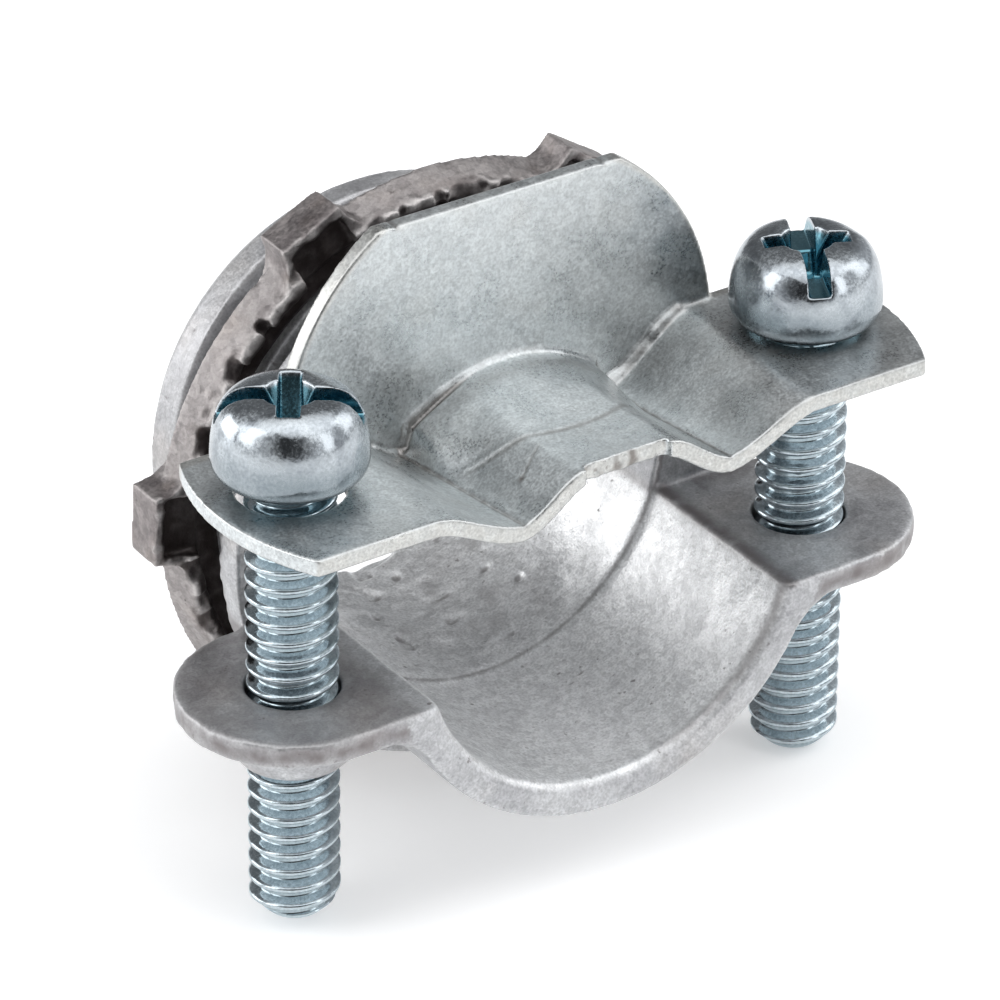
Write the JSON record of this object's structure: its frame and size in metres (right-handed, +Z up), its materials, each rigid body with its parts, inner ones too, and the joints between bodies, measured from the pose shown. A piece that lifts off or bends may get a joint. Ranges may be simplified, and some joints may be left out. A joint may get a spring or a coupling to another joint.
{
  "type": "two-screw clamp connector for cable",
  "caption": "Zinc clamp connector: threaded nipple with a locknut grips a box knockout, and a steel strap drawn down by clamp screws grips the cable.",
  "frame": {"origin": "on the bore axis, in the plane of the collar's shoulder that seats against the outside of a box wall", "axes": "+Y along the bore out of the threaded nipple, +Z up towards the screw heads and square to the strap, +X from the left clamp screw to the right one"},
  "size_m": [0.0444, 0.0263, 0.0358],
  "materials": {
    "body_casting": "as-cast zinc alloy, tumbled, light grey with darker specks",
    "strap_steel": "galvanised sheet, satin, finely mottled",
    "screw_plating": "bright zinc plating with a blue passivation",
    "nut_casting": "as-cast zinc alloy, dull brownish grey"
  },
  "bodies": {
    "body": {"connector_body": "body_casting"},
    "strap": {"clamp_strap": "strap_steel"},
    "left_screw": {"left_clamp_screw": "screw_plating"},
    "right_screw": {"right_clamp_screw": "screw_plating"},
    "nut": {"locknut": "nut_casting"}
  },
  "joints": [
    {"name": "strap_slide", "type": "slide", "parent": "body", "child": "strap", "axis": [0, 0, 1], "range_m": [-0.00741, 0.00317]},
    {"name": "left_screw_turn", "type": "hinge", "parent": "strap", "child": "left_screw", "pos_m": [-0.016, -0.00786, 0.0091], "axis": [0, 0, 1], "range_deg": [-2530, 1090]},
    {"name": "right_screw_turn", "type": "hinge", "parent": "strap", "child": "right_screw", "pos_m": [0.016, -0.00786, 0.00845], "axis": [0, 0, 1], "range_deg": [-2530, 1090]},
    {"name": "locknut_slide", "type": "slide", "parent": "body", "child": "nut", "axis": [0, 1, 0], "range_m": [-0.00181, 0.00544]}
  ],
  "couplings": [
    {"joint": "left_screw_turn", "follows": "strap_slide", "rad_per_m": 5936.9},
    {"joint": "right_screw_turn", "follows": "strap_slide", "rad_per_m": 5936.9}
  ]
}
